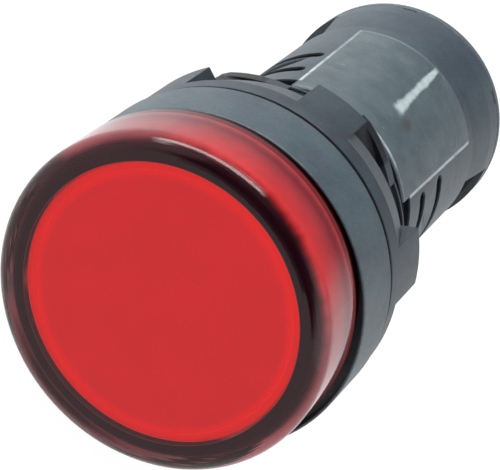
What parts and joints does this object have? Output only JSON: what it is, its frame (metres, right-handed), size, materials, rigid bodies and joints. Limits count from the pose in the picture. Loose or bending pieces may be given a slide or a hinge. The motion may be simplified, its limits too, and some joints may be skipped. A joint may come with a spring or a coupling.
{
  "type": "panel pilot light",
  "caption": "Round red panel pilot light: clear red lens cap on a black ringed body, clamped in a panel hole by a lugged nut, with screw terminals at the rear.",
  "frame": {"origin": "centre of the bezel's back face, where the lamp seats against the panel", "axes": "+Y along the lamp's axis to the rear (the lens faces -Y), +Z through the printed side of the body, wires enter at -X and +X"},
  "size_m": [0.0296, 0.0555, 0.0296],
  "materials": {
    "black_plastic": "black moulded plastic, fine matt texture",
    "red_lens": "clear red moulded plastic, polished, frosted inside the skirt",
    "red_diffuser": "red translucent plastic",
    "gasket_rubber": "black rubber",
    "nut_plastic": "black moulded plastic, fine matt texture",
    "board_white": "white coated circuit board",
    "led_epoxy": "red tinted clear epoxy",
    "tinned_wire": "tinned copper wire",
    "board_green": "green coated circuit board",
    "capacitor_red": "dipped red-brown film capacitor",
    "capacitor_sleeve": "dark blue sleeve",
    "component_black": "moulded black epoxy",
    "resistor_tan": "tan lacquer",
    "block_plastic": "black moulded plastic",
    "brass": "pressed brass",
    "zinc_steel": "bright zinc-plated steel",
    "cover_plastic": "black moulded plastic"
  },
  "bodies": {
    "lamp_body": {"housing": "black_plastic", "diffuser": "red_diffuser", "led_board": "board_white", "leds": "led_epoxy", "led_leads": "tinned_wire", "circuit_board": "board_green", "film_capacitor": "capacitor_red", "smoothing_capacitor": "capacitor_sleeve", "bridge_rectifier": "component_black", "resistors": "resistor_tan", "terminal_block": "block_plastic", "terminal_strip_1": "brass", "terminal_strip_2": "brass"},
    "lens": {"lens_cap": "red_lens"},
    "gasket": {"panel_gasket": "gasket_rubber"},
    "nut": {"mounting_nut": "nut_plastic"},
    "washer_1": {"clamp_washer_1": "zinc_steel"},
    "washer_2": {"clamp_washer_2": "zinc_steel"},
    "screw_1": {"terminal_screw_1": "zinc_steel"},
    "screw_2": {"terminal_screw_2": "zinc_steel"},
    "cover": {"rear_cover": "cover_plastic"}
  },
  "joints": [
    {"name": "nut_travel", "type": "slide", "parent": "lamp_body", "child": "gasket", "axis": [0, 1, 0], "range_m": [0, 0.0201]},
    {"name": "nut_turn", "type": "hinge", "parent": "gasket", "child": "nut", "pos_m": [0, 0.004, 0], "axis": [0, 1, 0], "range_deg": [0, 1550]},
    {"name": "lens_cap_pull", "type": "slide", "parent": "lamp_body", "child": "lens", "axis": [0, -1, 0], "range_m": [0, 0.01]},
    {"name": "washer_1_lift", "type": "slide", "parent": "lamp_body", "child": "washer_1", "axis": [0, 1, 0], "range_m": [0, 0.0025]},
    {"name": "screw_1_turn", "type": "hinge", "parent": "washer_1", "child": "screw_1", "pos_m": [-0.005, 0.036, 0], "axis": [0, 1, 0], "range_deg": [0, 1801]},
    {"name": "washer_2_lift", "type": "slide", "parent": "lamp_body", "child": "washer_2", "axis": [0, 1, 0], "range_m": [0, 0.0025]},
    {"name": "screw_2_turn", "type": "hinge", "parent": "washer_2", "child": "screw_2", "pos_m": [0.005, 0.036, 0], "axis": [0, 1, 0], "range_deg": [0, 1801]},
    {"name": "rear_cover_pull", "type": "slide", "parent": "lamp_body", "child": "cover", "axis": [0, 1, 0], "range_m": [0, 0.008]}
  ],
  "couplings": [
    {"joint": "nut_travel", "follows": "nut_turn", "m_per_rad": 0.00074007},
    {"joint": "screw_1_turn", "follows": "washer_1_lift", "rad_per_m": 12566},
    {"joint": "screw_2_turn", "follows": "washer_2_lift", "rad_per_m": 12566}
  ]
}
